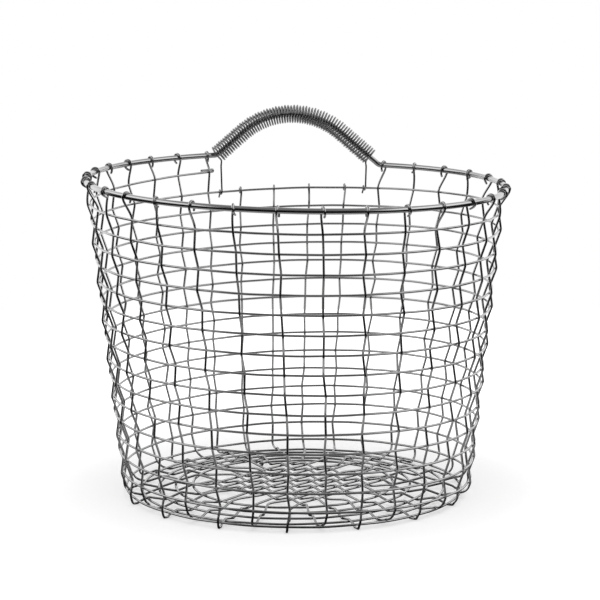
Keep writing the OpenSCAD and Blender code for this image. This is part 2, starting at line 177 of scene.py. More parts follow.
@dataclass(frozen=True)
class BasketPlan:
    """Driving sizes of the basket, the same as the frame's."""

    rim_d: float = 0.360
    rim_rod_d: float = 0.005
    rim_h: float = 0.271
    rim_fall: float = 0.0096
    bow_w: float = 0.1495
    bow_mid: float = 0.0021
    bow_h: float = 0.0426
    bow_slope: float = 41.0
    bow_bend: float = 0.0026
    coil_wire_d: float = 0.0016
    coil_d: float = 0.0154
    coil_curls: int = 64
    coil_left: float = 0.0006
    coil_right: float = 0.011
    coil_low: float = 135.0
    wire_d: float = 0.002
    weave_inset: float = 0.003
    first_drop: float = 0.0168
    wall_pitch: float = 0.0168
    weaver_rise: float = 0.004
    upright_drift: float = 2.4
    first_azimuth: float = 201.2
    spacing_stray: float = 3.6
    stray_azimuth: float = 132.0
    spacing_sway: float = 0.6
    back_shift: float = 0.65
    sway_azimuth: float = 7.0
    hook_wrap: float = 220.0
    hook_spread: float = 0.0042
    loop_wrap: float = 240.0
    base_d: float = 0.300
    foot_r: float = 0.009
    foot_z: float = 0.00231
    foot_drop: float = 0.003
    base_rise: float = 3.5
    base_pitch_aim: float = 0.015
    patch_wires: int = 8
    patch_step: float = 0.0148
    patch_gap: float = 0.006
    patch_azimuth: float = 228.3
    weaver_spare: float = 1.2

    @cached_property
    def rim_r(self) -> float:
        """Radius of the rim, to the middle of its rod."""
        return self.rim_d / 2

    @cached_property
    def uprights(self) -> int:
        """Number of uprights: two for each crossed wire, and the odd one."""
        return 4 * self.patch_wires + 1

    def bow_end(self, side: int) -> np.ndarray:
        """Corner between the rim and a leg of the bow, on the left (-1) or the right (1).

        Args:
            side: -1 or 1.

        Returns:
            The corner's place.
        """
        x = self.bow_mid + side * self.bow_w / 2
        y = math.sqrt(self.rim_r**2 + self.bow_bend**2 - x**2)
        return np.array([x, y, self.rim_h - side * self.rim_fall / 2])

    def rim_end(self, side: int) -> float:
        """Degrees from the back at which the rim's arc ends, on the left (-1) or the right (1)."""
        reach = math.hypot(self.rim_r, self.bow_bend)
        return math.degrees(math.asin(side * self.bow_end(side)[0] / reach) + math.atan(self.bow_bend / self.rim_r))

    def rim_point(self, azimuth: np.ndarray) -> np.ndarray:
        """Middle of the rim rod.

        Its front half is a circle in a slanting plane between a high left end and a low right end, and each
        half of its back is level: r = hypot(R, fall/2) in front and R behind.

        Args:
            azimuth: Azimuths in degrees.

        Returns:
            One point for each azimuth.
        """
        a = np.radians(azimuth)
        front = np.cos(a) > 0
        r = np.where(front, math.hypot(self.rim_r, self.rim_fall / 2), self.rim_r)
        fall = np.where(front, np.sin(a), np.sign(np.sin(a)))
        return np.stack([self.rim_r * np.sin(a), -r * np.cos(a), self.rim_h - self.rim_fall / 2 * fall], -1)

    def rim_azimuth(self, i: np.ndarray) -> np.ndarray:
        """Azimuths of the hand-set uprights at the rim: even steps, with a stray and a sway in the spacing."""
        even = self.first_azimuth + np.asarray(i, float) * 360 / self.uprights
        stray = self.spacing_stray * (1 + np.cos(np.radians(even - self.stray_azimuth)))
        sway = self.spacing_sway * np.cos(np.radians(2 * (even - self.sway_azimuth)))
        return even + stray + sway + self.back_shift * np.maximum(-np.cos(np.radians(even)), 0) ** 6

    @cached_property
    def seam(self) -> float:
        """Azimuth at which the weaver starts."""
        return float(self.rim_azimuth(0)) - self.weaver_spare

    def under_handle(self, i: int) -> bool:
        """Whether an upright ends below the handle, on the weaver's first turn."""
        azimuth = float(self.rim_azimuth(i)) - 540
        return math.degrees(self.bow_bend / self.rim_r) - self.rim_end(1) < azimuth < self.rim_end(-1)

    def hook_azimuth(self, i: int) -> float:
        """Azimuth of an upright's hook, which keeps clear of the bends into the bow."""
        room = math.degrees(self.hook_spread / 2 / self.rim_r)
        azimuth = float(self.rim_azimuth(i))
        return min(azimuth, 540 - self.rim_end(1) - room) if 360 < azimuth < 540 else azimuth


@dataclass(frozen=True)
class Weave:
    """Surface in which the weaver lies, and the places at which the uprights cross it."""

    plan: BasketPlan
    wave_depth: float = 0.00012
    stray_depth: float = 0.0003

    @cached_property
    def top(self) -> np.ndarray:
        """Radius and height of the weave's upper edge."""
        p = self.plan
        return np.array([p.rim_r - p.weave_inset, p.rim_h + p.rim_fall / 2 - p.first_drop])

    @cached_property
    def lean(self) -> float:
        """Degrees by which the wall leans out."""
        p = self.plan
        return math.degrees(math.atan2(self.top[0] - p.base_d / 2, self.top[1] - p.foot_z))

    @cached_property
    def foot_turn(self) -> float:
        """Degrees through which the side view turns at the foot."""
        return 90 - self.lean + self.plan.base_rise

    @cached_property
    def foot_cut(self) -> float:
        """Length that the rounded foot takes from the wall and from the base."""
        return self.plan.foot_r * math.tan(math.radians(self.foot_turn / 2))

    @cached_property
    def wall_len(self) -> float:
        """Length of the wall's straight side view."""
        p = self.plan
        return math.hypot(self.top[0] - p.base_d / 2, self.top[1] - p.foot_z) - self.foot_cut

    @cached_property
    def foot_len(self) -> float:
        """Length of the rounded foot's side view."""
        return math.radians(self.foot_turn) * self.plan.foot_r

    @cached_property
    def inner_r(self) -> float:
        """Radius of the innermost turn."""
        p = self.plan
        return (p.patch_wires - 1) / 2 * p.patch_step * math.sqrt(2) + p.patch_gap

    @cached_property
    def inner_z(self) -> float:
        """Height of the crossed middle."""
        p = self.plan
        return p.foot_z + (p.base_d / 2 - self.inner_r) * math.tan(math.radians(p.base_rise))

    @cached_property
    def wall_turns(self) -> float:
        """Number of turns down the wall."""
        return self.wall_len / self.plan.wall_pitch

    @cached_property
    def in_len(self) -> float:
        """Length of the foot and the base's side view."""
        p = self.plan
        return self.foot_len + (p.base_d / 2 - self.inner_r) / math.cos(math.radians(p.base_rise)) - self.foot_cut

    @cached_property
    def turns(self) -> int:
        """Whole number of turns from the upper edge to the innermost turn."""
        return round(self.wall_turns + self.in_len / self.plan.base_pitch_aim)

    @cached_property
    def base_pitch(self) -> float:
        """Spacing of the turns across the base."""
        return self.in_len / (self.turns - self.wall_turns)

    def length(self, turn: np.ndarray) -> np.ndarray:
        """Length down the side view after a number of turns."""
        p = self.plan
        return turn * p.wall_pitch + np.maximum(turn - self.wall_turns, 0) * (self.base_pitch - p.wall_pitch)

    def bent(self, s: np.ndarray) -> np.ndarray:
        """Degrees turned through at the foot, at a length down the side view."""
        return np.clip(np.degrees((s - self.wall_len) / self.plan.foot_r), 0, self.foot_turn)

    def side(self, s: np.ndarray) -> np.ndarray:
        """Side view of the weave: a straight wall, an arc at the foot and a straight rise to the middle.

        Args:
            s: Lengths down the side view.

        Returns:
            Radius and height at each length.
        """
        p = self.plan
        lean, rise = math.radians(self.lean), math.radians(p.base_rise)
        turned = np.radians(self.bent(s)) + lean
        down = np.minimum(s, self.wall_len)
        flat = np.maximum(s - self.wall_len - self.foot_len, 0)
        r = self.top[0] - down * math.sin(lean) + p.foot_r * (np.cos(turned) - math.cos(lean)) - flat * math.cos(rise)
        z = self.top[1] - down * math.cos(lean) + p.foot_r * (math.sin(lean) - np.sin(turned)) + flat * math.sin(rise)
        return np.stack([r, z], -1)

    def facing(self, azimuth: np.ndarray) -> np.ndarray:
        """Degrees by which the weave's outward side faces down, where the weaver has reached an azimuth."""
        return self.lean + self.bent(self.length((azimuth - self.plan.seam) / 360))

    def normal(self, azimuth: np.ndarray) -> np.ndarray:
        """Outward side of the weave."""
        f = np.radians(self.facing(azimuth))[..., None]
        return outward(azimuth) * np.cos(f) - UP * np.sin(f)

    def joint(self, j: np.ndarray) -> np.ndarray:
        """Points on the left and right at which the weaver's slanting half turns meet."""
        azimuth = 90 + 180 * j
        seam = self.plan.seam
        p = self.side(self.length(np.maximum(azimuth - seam, 0) / 360))
        rise = np.where(j == 0, 2 * self.plan.weaver_rise / (1 - math.sin(math.radians(seam - 180))), 0)
        return np.stack([p[..., 0] * np.where(j % 2 == 0, 1, -1), 0 * rise, p[..., 1] + rise], -1)

    def even_weaver(self, azimuth: np.ndarray) -> np.ndarray:
        """Middle of an evenly laid weaver: half circles, each in its own slanting plane.

        With a and b the half turn's two ends, m halfway between them and t the angle from a:
        p = m + (a - m) cos t + (0, |b - a| / 2 sin t, 0), turned to the back or the front by turns.

        Args:
            azimuth: Azimuths from the seam on, 360 more for each turn.

        Returns:
            One point for each azimuth.
        """
        j = np.floor((azimuth - 90) / 180)
        a, b = self.joint(j), self.joint(j + 1)
        t = np.radians(azimuth - 90 - 180 * j)
        bulge = np.linalg.norm(b - a, axis=-1) / 2 * np.sin(t) * np.where(j % 2 == 0, 1, -1)
        return (a + b) / 2 + (a - b) / 2 * np.cos(t)[..., None] + bulge[..., None] * np.array([0, 1, 0])

    def weaver(self, azimuth: np.ndarray) -> np.ndarray:
        """Middle of the weaver as a hand lays it: it gives way a little to each upright, and strays up and down.

        Args:
            azimuth: Azimuths from the seam on.

        Returns:
            One point for each azimuth.
        """
        normal = self.normal(azimuth)
        down = np.cross(normal, around(azimuth))
        count = np.interp(azimuth, *self.crossings)
        a = np.radians(azimuth)
        stray = np.sin(4.3 * a + 1) + 0.6 * np.sin(11.2 * a) + 0.4 * np.sin(23.7 * a + 2)
        give = self.wave_depth * np.cos(np.pi * count)
        return self.even_weaver(azimuth) + normal * give[..., None] - down * (self.stray_depth / 2 * stray)[..., None]

    def exit_azimuth(self, i: np.ndarray) -> np.ndarray:
        """Azimuths at which the uprights leave the crossed middle, by its four sides."""
        p = self.plan
        number = np.where(i == 0, 1.5, (i + 1) % (4 * p.patch_wires))
        side = np.floor(number / p.patch_wires)
        step = number - side * p.patch_wires - (p.patch_wires - 1) / 2
        fan = np.degrees(np.arcsin(step * p.patch_step / self.inner_r))
        return p.patch_azimuth + 90 * side + fan + np.where(i > p.uprights - 3, 360, 0)

    def crossing_azimuth(self, i: np.ndarray, turn: np.ndarray) -> np.ndarray:
        """Azimuth of an upright where it crosses the weaver for the given time.

        Args:
            i: Number of the upright.
            turn: Number of the crossing, 0 at the top.

        Returns:
            The azimuth, 360 more for each turn.
        """
        p = self.plan
        rim = p.rim_azimuth(i)
        s = self.length(turn + (rim - p.seam) / 360)
        inset = np.clip((p.base_d / 2 - self.side(s)[..., 0]) / (p.base_d / 2 - self.inner_r), 0, 1)
        wall = rim + p.upright_drift * np.minimum(s / self.wall_len, 1)
        return 360 * turn + np.where(s > self.wall_len, wall + (self.exit_azimuth(i) - wall) * inset, wall)

    @cached_property
    def crossings(self) -> tuple[np.ndarray, np.ndarray]:
        """All crossings along the weaver: their azimuths, and their running numbers."""
        number = np.arange(self.plan.uprights * self.turns + 1)
        return self.crossing_azimuth(number % self.plan.uprights, number // self.plan.uprights), number.astype(float)

    def passes(self, i: int, turn: int) -> int:
        """Side on which an upright passes the weaver: 1 outside or below it, -1 inside or above it."""
        return -1 if (i + self.plan.uprights * turn) % 2 == 0 else 1


@dataclass(frozen=True)
class Finish:
    """A bright drawn-steel finish.

    Attributes:
        slot: Material slot of the record.
        tint: Colour of the metal.
        roughness: Roughness of clean metal.
        smudged: How much duller the handled patches are.
        streaks: Depth of the drawing lines.
        lines: Number of drawing lines round the wire.
    """

    slot: Slot
    tint: tuple[float, float, float]
    roughness: float
    smudged: float
    streaks: float
    lines: float

    def material(self, drawing: "DrawnSurface") -> bpy.types.Material:
        """Builds the finish as a material.

        Args:
            drawing: The shared effect of drawing lines and smudges.

        Returns:
            The new material.
        """
        made = bpy.data.materials.new(self.slot.value)
        made.use_nodes = True
        tree = made.node_tree
        shader = tree.nodes["Principled BSDF"]
        shader.inputs["Metallic"].default_value = 1.0
        effect = tree.nodes.new("ShaderNodeGroup")
        effect.node_tree = drawing.group
        effect.inputs["Tint"].default_value = (*self.tint, 1)
        effect.inputs["Roughness"].default_value = self.roughness
        effect.inputs["Smudged"].default_value = self.smudged
        effect.inputs["Lines"].default_value = self.lines
        bump = tree.nodes.new("ShaderNodeBump")
        bump.inputs["Strength"].default_value = self.streaks
        bump.inputs["Distance"].default_value = 0.0001
        tree.links.new(effect.outputs["Colour"], shader.inputs["Base Color"])
        tree.links.new(effect.outputs["Roughness"], shader.inputs["Roughness"])
        tree.links.new(effect.outputs["Height"], bump.inputs["Height"])
        tree.links.new(bump.outputs["Normal"], shader.inputs["Normal"])
        return made


class DrawnSurface:
    """Shared effect of drawn wire: fine lines along it, dull smudges, and a darker film where the wire was heated."""

    def __init__(self) -> None:
        """Builds the node group with its named inputs and outputs."""
        self.group = bpy.data.node_groups.new("drawn_surface", "ShaderNodeTree")
        face = self.group.interface
        face.new_socket("Tint", in_out="INPUT", socket_type="NodeSocketColor")
        for name in ("Roughness", "Smudged", "Lines"):
            face.new_socket(name, in_out="INPUT", socket_type="NodeSocketFloat")
        face.new_socket("Colour", in_out="OUTPUT", socket_type="NodeSocketColor")
        face.new_socket("Roughness", in_out="OUTPUT", socket_type="NodeSocketFloat")
        face.new_socket("Height", in_out="OUTPUT", socket_type="NodeSocketFloat")
        self._wire_up()

    def _node(self, kind: str, **values: object) -> bpy.types.Node:
        """Adds a node.

        Args:
            kind: Blender's name of the node's type.
            **values: Attributes to set on it.

        Returns:
            The node.
        """
        node = self.group.nodes.new(kind)
        for name, value in values.items():
            setattr(node, name, value)
        return node

    def _maths(self, operation: str, a: object, b: object) -> bpy.types.NodeSocket:
        """Adds a sum or product of two sockets or numbers.

        Args:
            operation: Blender's name of the operation.
            a: First socket or number.
            b: Second socket or number.

        Returns:
            The result's socket.
        """
        node = self._node("ShaderNodeMath", operation=operation)
        for socket, value in zip(node.inputs, (a, b)):
            if isinstance(value, bpy.types.NodeSocket):
                self.group.links.new(value, socket)
            else:
                socket.default_value = value
        return node.outputs[0]

    def _noise(self, vector: bpy.types.NodeSocket, scale: float, detail: float) -> bpy.types.NodeSocket:
        """Adds a noise pattern.

        Args:
            vector: Coordinates to read.
            scale: Number of blotches in a unit of length.
            detail: Octaves of finer pattern.

        Returns:
            The pattern's factor.
        """
        node = self._node("ShaderNodeTexNoise")
        node.inputs["Scale"].default_value = scale
        node.inputs["Detail"].default_value = detail
        self.group.links.new(vector, node.inputs["Vector"])
        return node.outputs["Fac"]

    def _lines_vector(self, lines: bpy.types.NodeSocket) -> bpy.types.NodeSocket:
        """Coordinates that are stretched along the wire and close up round it.

        The wire's map holds its length and the turn round it, v. The coordinates are
        (length, lines cos(2 pi v), lines sin(2 pi v)).

        Args:
            lines: Number of lines round the wire.

        Returns:
            The coordinates' socket.
        """
        uv = self._node("ShaderNodeUVMap", uv_map=WireMesh.MAP)
        split = self._node("ShaderNodeSeparateXYZ")
        join = self._node("ShaderNodeCombineXYZ")
        self.group.links.new(uv.outputs["UV"], split.inputs[0])
        turn = self._maths("MULTIPLY", split.outputs["Y"], 2 * math.pi)
        self.group.links.new(split.outputs["X"], join.inputs["X"])
        for name, operation in (("Y", "COSINE"), ("Z", "SINE")):
            self.group.links.new(self._maths("MULTIPLY", self._maths(operation, turn, 0), lines), join.inputs[name])
        return join.outputs[0]

    def _wire_up(self) -> None:
        """Joins up the group's nodes."""
        links = self.group.links
        given = self._node("NodeGroupInput")
        out = self._node("NodeGroupOutput")
        place = self._node("ShaderNodeTexCoord").outputs["Object"]
        streaks = self._noise(self._lines_vector(given.outputs["Lines"]), 3.0, 3.0)
        smudge = self._noise(place, 38.0, 3.0)
        patch = self._noise(place, 9.0, 2.0)
        dull = self._maths("MULTIPLY", self._maths("MULTIPLY", smudge, patch), given.outputs["Smudged"])
        rough = self._maths("ADD", given.outputs["Roughness"], dull)
        lined = self._maths("MULTIPLY", self._maths("SUBTRACT", streaks, 0.5), 0.08)
        links.new(self._maths("ADD", rough, lined), out.inputs["Roughness"])
        links.new(streaks, out.inputs["Height"])
        shade = self._maths("MULTIPLY", self._maths("ADD", self._maths("MULTIPLY", streaks, 0.5), patch), 0.55)
        shade = self._maths("ADD", shade, 0.58)
        tint = self._node("ShaderNodeVectorMath", operation="SCALE")
        links.new(given.outputs["Tint"], tint.inputs[0])
        links.new(shade, tint.inputs["Scale"])
        links.new(tint.outputs[0], out.inputs["Colour"])


@dataclass(frozen=True)
class WireMesh:
    """Round skin round a wire's middle line.

    Attributes:
        name: Name of the piece.
        path: Middle line.
        diameter: Thickness of the wire.
        sides: Number of faces round it.
        closed: Whether the line's end meets its start.
    """

    MAP = "along_wire"
    CAP_RINGS = 3

    name: str
    path: Path
    diameter: float
    sides: int
    closed: bool = False

    def _rings(self) -> tuple[np.ndarray, np.ndarray, np.ndarray, np.ndarray]:
        """Rings of the skin: middles, directions across and along, and radii. Open ends are domed.

        A dome's ring at angle t stands r sin t beyond the end, with the radius r cos t.

        Returns:
            Middles, across, along and radii.
        """
        points, across = self.path.points, self.path.across
        if self.closed:
            along = unit(np.roll(points, -1, 0) - np.roll(points, 1, 0))
        else:
            steps = unit(np.diff(points, axis=0))
            along = unit(np.concatenate([steps[:1], steps]) + np.concatenate([steps, steps[-1:]]))
        radii = np.full(len(points), self.diameter / 2)
        if not self.closed:
            t = np.radians(np.linspace(0, 90, self.CAP_RINGS + 2)[1:-1])
            out, small = self.diameter / 2 * np.sin(t)[:, None], self.diameter / 2 * np.cos(t)
            points = np.concatenate([points[:1] - out[::-1] * along[0], points, points[-1:] + out * along[-1]])
            radii = np.concatenate([small[::-1], radii, small])
            repeat = [self.CAP_RINGS + 1, *[1] * (len(along) - 2), self.CAP_RINGS + 1]
            along, across = np.repeat(along, repeat, 0), np.repeat(across, repeat, 0)
        return points, across, along, radii

    def build(self, material: bpy.types.Material, slot: Slot) -> bpy.types.Object:
        """Makes the piece, and lets it ride on the basket's body.

        A point of the skin is c + r (x cos v + y sin v), with x the direction across made square to the wire
        and y = along cross x. Each open end is closed by a fan round a pole.

        Args:
            material: Finish of the skin.
            slot: Material slot of the record; not used.

        Returns:
            The piece.
        """
        points, across, along, radii = self._rings()
        x = unit(across - (across * along).sum(-1, keepdims=True) * along)
        y = np.cross(along, x)
        v = np.arange(self.sides) / self.sides
        turn = 2 * np.pi * v
        ring = x[:, None] * np.cos(turn)[None, :, None] + y[:, None] * np.sin(turn)[None, :, None]
        skin = (points[:, None] + radii[:, None, None] * ring).reshape(-1, 3)
        rows = np.arange(len(points) if self.closed else len(points) - 1)
        a = (rows[:, None] * self.sides + np.arange(self.sides)).ravel()
        b = (rows[:, None] * self.sides + (np.arange(self.sides) + 1) % self.sides).ravel()
        count = len(points) * self.sides
        faces = np.stack([a, b, (b + self.sides) % count, (a + self.sides) % count], -1)
        lengths = np.concatenate([[0], np.cumsum(np.linalg.norm(np.diff(points, axis=0), axis=1))])
        if self.closed:
            lengths = np.append(lengths, lengths[-1] + np.linalg.norm(points[0] - points[-1]))
        ends = np.concatenate([v, [1.0]])
        row = np.repeat(rows, self.sides)
        column = np.tile(np.arange(self.sides), len(rows))
        uv = np.stack(
            [
                np.stack([lengths[row + up], ends[column + on]], -1)
                for up, on in ((0, 0), (0, 1), (1, 1), (1, 0))
            ],
            1,
        ).reshape(-1, 2)
        mesh = self._mesh(skin, faces, uv, points, along, radii)
        piece = bpy.data.objects.new(self.name, mesh)
        bpy.context.scene.collection.objects.link(piece)
        mesh.materials.append(material)
        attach(piece, BODY)
        return piece

    def _mesh(
        self,
        skin: np.ndarray,
        faces: np.ndarray,
        uv: np.ndarray,
        points: np.ndarray,
        along: np.ndarray,
        radii: np.ndarray,
    ) -> bpy.types.Mesh:
        """Puts the skin into a mesh, with its end fans and its map.

        Args:
            skin: Points of the rings.
            faces: Four-sided faces between rings.
            uv: Map of those faces' corners.
            points: Middles of the rings.
            along: Direction of the wire at each ring.
            radii: Radii of the rings.

        Returns:
            The mesh.
        """
        loops, totals = faces.ravel(), np.full(len(faces), 4)
        if not self.closed:
            tip = self.diameter / 2 - self.diameter / 2 * math.sin(math.radians(90 * self.CAP_RINGS / (self.CAP_RINGS + 1)))
            poles = np.stack([points[0] - along[0] * tip, points[-1] + along[-1] * tip])
            here = np.arange(self.sides)
            on = (here + 1) % self.sides
            last = (len(points) - 1) * self.sides
            fans = np.concatenate(
                [
                    np.stack([on, here, np.full(self.sides, len(skin))], -1),
                    np.stack([last + here, last + on, np.full(self.sides, len(skin) + 1)], -1),
                ]
            )
            skin = np.concatenate([skin, poles])
            loops = np.concatenate([loops, fans.ravel()])
            totals = np.concatenate([totals, np.full(len(fans), 3)])
            uv = np.concatenate([uv, np.zeros((3 * len(fans), 2))])
        mesh = bpy.data.meshes.new(self.name)
        mesh.vertices.add(len(skin))
        mesh.vertices.foreach_set("co", skin.astype(np.float32).ravel())
        mesh.loops.add(len(loops))
        mesh.loops.foreach_set("vertex_index", loops.astype(np.int32))
        mesh.polygons.add(len(totals))
        mesh.polygons.foreach_set("loop_start", np.concatenate([[0], np.cumsum(totals)[:-1]]).astype(np.int32))
        mesh.polygons.foreach_set("use_smooth", np.ones(len(totals), bool))
        mesh.update(calc_edges=True)
        mesh.uv_layers.new(name=self.MAP).data.foreach_set("uv", uv.astype(np.float32).ravel())
        mesh.validate()
        return mesh


@dataclass
class RimAndBow:
    """The heavy rod of the rim, whose back rises into the handle's bow. It is one closed ring."""

    plan: BasketPlan
    finish: Finish
    sides: int = 24
    arc_steps: int = 420
    bend_steps: int = 8
    leg_steps: int = 6
    bow_steps: int = 40

    def __post_init__(self) -> None:
        """Works out the bow in its upright plane: a leg, an arc and a leg."""
        p = self.plan
        span = p.bow_end(1) - p.bow_end(-1)
        span[2] = 0
        self.along = unit(span)
        self.over = np.cross(UP, self.along)
        half, slope = np.linalg.norm(span) / 2, math.radians(p.bow_slope)
        self.r = (half * math.tan(slope) - p.bow_h) / (1 / math.cos(slope) - 1)
        leg = (half - self.r * math.sin(slope)) / math.cos(slope)
        self.left_leg = leg - p.rim_fall / 2 / math.sin(slope)
        self.right_leg = leg + p.rim_fall / 2 / math.sin(slope)
        self.arc = self.r * 2 * slope
        self.length = self.left_leg + self.arc + self.right_leg

    def angle(self, s: np.ndarray) -> np.ndarray:
        """Slope of the bow in radians, at lengths from its left corner."""
        slope = math.radians(self.plan.bow_slope)
        return slope - np.clip((s - self.left_leg) / self.r, 0, 2 * slope)

    def heading(self, s: np.ndarray) -> np.ndarray:
        """Direction of the bow."""
        a = self.angle(s)[..., None]
        return self.along * np.cos(a) + UP * np.sin(a)

    def top_side(self, s: np.ndarray) -> np.ndarray:
        """Upward side of the bow."""
        a = self.angle(s)[..., None]
        return UP * np.cos(a) - self.along * np.sin(a)

    def point(self, s: np.ndarray) -> np.ndarray:
        """Middle of the bow's rod, at lengths from its left corner.

        Args:
            s: Lengths.

        Returns:
            One point for each length: corner + leg + r (n(s) - n(0)) + leg, with n the upward side.
        """
        s = np.asarray(s, float)
        first = np.array(0.0)
        on_arc = np.clip(s, self.left_leg, self.left_leg + self.arc)
        return (
            self.plan.bow_end(-1)
            + np.minimum(s, self.left_leg)[..., None] * self.heading(first)
            + self.r * (self.top_side(on_arc) - self.top_side(first))
            + np.maximum(s - self.left_leg - self.arc, 0)[..., None] * self.heading(s)
        )

    def line(self) -> Path:
        """Middle line of the whole ring: round the rim from the left bend to the right one, and back by the bow."""
        p = self.plan
        start, end = 180 + p.rim_end(-1), 540 - p.rim_end(1)
        azimuth = np.linspace(start, end, self.arc_steps)
        rim = Path(p.rim_point(azimuth), outward(azimuth))
        legs = [
            np.linspace(p.bow_bend, self.left_leg, self.leg_steps),
            np.linspace(self.left_leg, self.left_leg + self.arc, self.bow_steps)[1:],
            np.linspace(self.left_leg + self.arc, self.length - p.bow_bend, self.leg_steps)[1:],
        ]
        s = np.concatenate(legs)[::-1]
        bow = Path(self.point(s), np.broadcast_to(self.over, (len(s), 3)))
        turn = math.acos(float(rim.heading(-1) @ bow.heading(0)))
        pull = 4 * math.tan(turn / 4) / math.tan(turn / 2) * p.bow_bend
        right = bridge(rim, bow, pull / np.linalg.norm(bow.points[0] - rim.points[-1]), self.bend_steps)
        left = bridge(bow, rim, pull / np.linalg.norm(rim.points[0] - bow.points[-1]), self.bend_steps)
        ring = joined(rim, right, bow, left)
        return Path(ring.points[:-1], ring.across[:-1])

    def build(self, material: bpy.types.Material) -> list[bpy.types.Object]:
        """Makes the rod in place of its plain solid.

        Args:
            material: The rod's finish.

        Returns:
            The pieces made.
        """
        mesh = WireMesh("rim_rod_bright", self.line(), self.plan.rim_rod_d, self.sides, closed=True)
        piece = mesh.build(material, self.finish.slot)
        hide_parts("rim_rod")
        return [piece]


@dataclass
class CoiledGrip:
    """The handle's grip: thin wire in open curls round the bow, whose two tails clasp the weaver's first turn."""

    plan: BasketPlan
    weave: Weave
    bow: RimAndBow
    finish: Finish
    sides: int = 10
    steps_per_curl: int = 30
    eyelet_wrap: float = 400.0
    tail_tip: float = 0.0035
    tail_shift: float = -0.0018

    def curls(self) -> Path:
        """The curls: p(s) + r (n cos a + w sin a), with n and w the bow's upward and outward sides.

        Returns:
            The curls' middle line, from low on the inner side at the left to low on the outer side at the right.
        """
        p = self.plan
        total = 360 * p.coil_curls + 2 * p.coil_low
        share = np.linspace(0, 1, int(total / 360 * self.steps_per_curl) + 1)
        s = p.coil_left + (self.bow.length - p.coil_left - p.coil_right) * share
        a = np.radians(total * share - p.coil_low)[:, None]
        stray = 0.00018 * np.sin(2.7 * a) + 0.00012 * np.sin(0.31 * a + 1)
        out = self.bow.top_side(s) * np.cos(a) + self.bow.over * np.sin(a)
        return Path(self.bow.point(s) + (p.coil_d / 2 + stray) * out, self.bow.heading(s))

    def tail(self, end: Path, side: int) -> Path:
        """A tail from an end of the curls down to the weaver and once round it.

        Args:
            end: The curls, run so that they end at this tail.
            side: -1 on the left, 1 on the right.

        Returns:
            The tail's middle line, from the curls on.
        """
        p = self.plan
        x = end.points[-1][0] + self.tail_shift
        r = p.rim_r - p.weave_inset
        azimuth = np.array(540 - math.degrees(math.asin(x / r)))
        middle, normal, along = self.weave.weaver(azimuth), self.weave.normal(azimuth), around(azimuth)
        up = np.cross(normal, along)
        clasp_r = (p.wire_d + p.coil_wire_d) / 2 + 0.00003
        t = np.linspace(0, 1, 28)[:, None]
        a = np.radians(self.eyelet_wrap) * t
        pitch = p.coil_wire_d * 1.15 * self.eyelet_wrap / 360
        ring = side * normal * np.cos(a) - up * np.sin(a)
        eyelet = Path(middle + clasp_r * ring + along * pitch * (t - 0.3), np.broadcast_to(along, (28, 3)))
        fall = np.array([[0.0], [0.5]])
        below = end.points[-1] - UP * 0.006
        above = eyelet.points[0] + up * 0.004
        straight = Path(below + (above - below) * fall * 2, np.broadcast_to(along, (2, 3)))
        tip_at = eyelet.points[-1] + unit(eyelet.heading(-1) - 0.6 * UP) * self.tail_tip
        tip = Path(np.stack([tip_at - UP * 1e-5, tip_at]), np.broadcast_to(along, (2, 3)))
        return joined(
            bridge(end, straight, 0.9, 10),
            straight,
            bridge(straight, eyelet, 0.8, 6),
            eyelet,
            bridge(eyelet, tip, 0.7, 5),
        )

    def build(self, material: bpy.types.Material) -> list[bpy.types.Object]:
        """Makes the grip in place of its plain solid.

        Args:
            material: The grip's finish.

        Returns:
            The pieces made.
        """
        curls = self.curls()
        left = self.tail(curls.reverse(), -1)
        right = self.tail(curls, 1)
        line = joined(left.reverse(), curls, right)
        piece = WireMesh("grip_coil_bright", line, self.plan.coil_wire_d, self.sides).build(material, self.finish.slot)
        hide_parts("grip_coil")
        return [piece]


@dataclass
class WeaverWire:
    """The one long wire that spirals down the wall and in across the base."""

    plan: BasketPlan
    weave: Weave
    finish: Finish
    sides: int = 10
    step: float = 1.25
    fold: float = 0.011

    def line(self) -> Path:
        """Middle line: a short fold back round the first upright, then the whole spiral.

        Returns:
            The line from the folded upper end to the innermost turn.
        """
        p = self.plan
        finish = float(self.weave.crossing_azimuth(np.array(0), np.array(self.weave.turns))) + p.weaver_spare
        azimuth = np.linspace(p.seam, finish, int((finish - p.seam) / self.step))
        spiral = Path(self.weave.weaver(azimuth), self.weave.normal(azimuth))
        back = -spiral.heading(0)
        normal = spiral.across[0]
        up = np.cross(back, normal)
        up = up if up[2] > 0 else -up
        t = np.radians(np.linspace(0, 180, 12))[:, None]
        r = p.wire_d / 2 + 0.00005
        bend = spiral.points[0] + up * r + r * (back * np.sin(t) - up * np.cos(t))
        tail = bend[-1] - back * np.linspace(0, self.fold, 6)[1:, None] - normal * np.linspace(0, 0.0006, 6)[1:, None]
        fold = np.concatenate([bend, tail])[::-1]
        return joined(Path(fold, np.broadcast_to(normal, fold.shape)), spiral)

    def build(self, material: bpy.types.Material) -> list[bpy.types.Object]:
        """Makes the weaver in place of its plain solid.

        Args:
            material: The wire's finish.

        Returns:
            The pieces made.
        """
        piece = WireMesh("weaver_bright", self.line(), self.plan.wire_d, self.sides).build(material, self.finish.slot)
        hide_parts("weaver")
        return [piece]


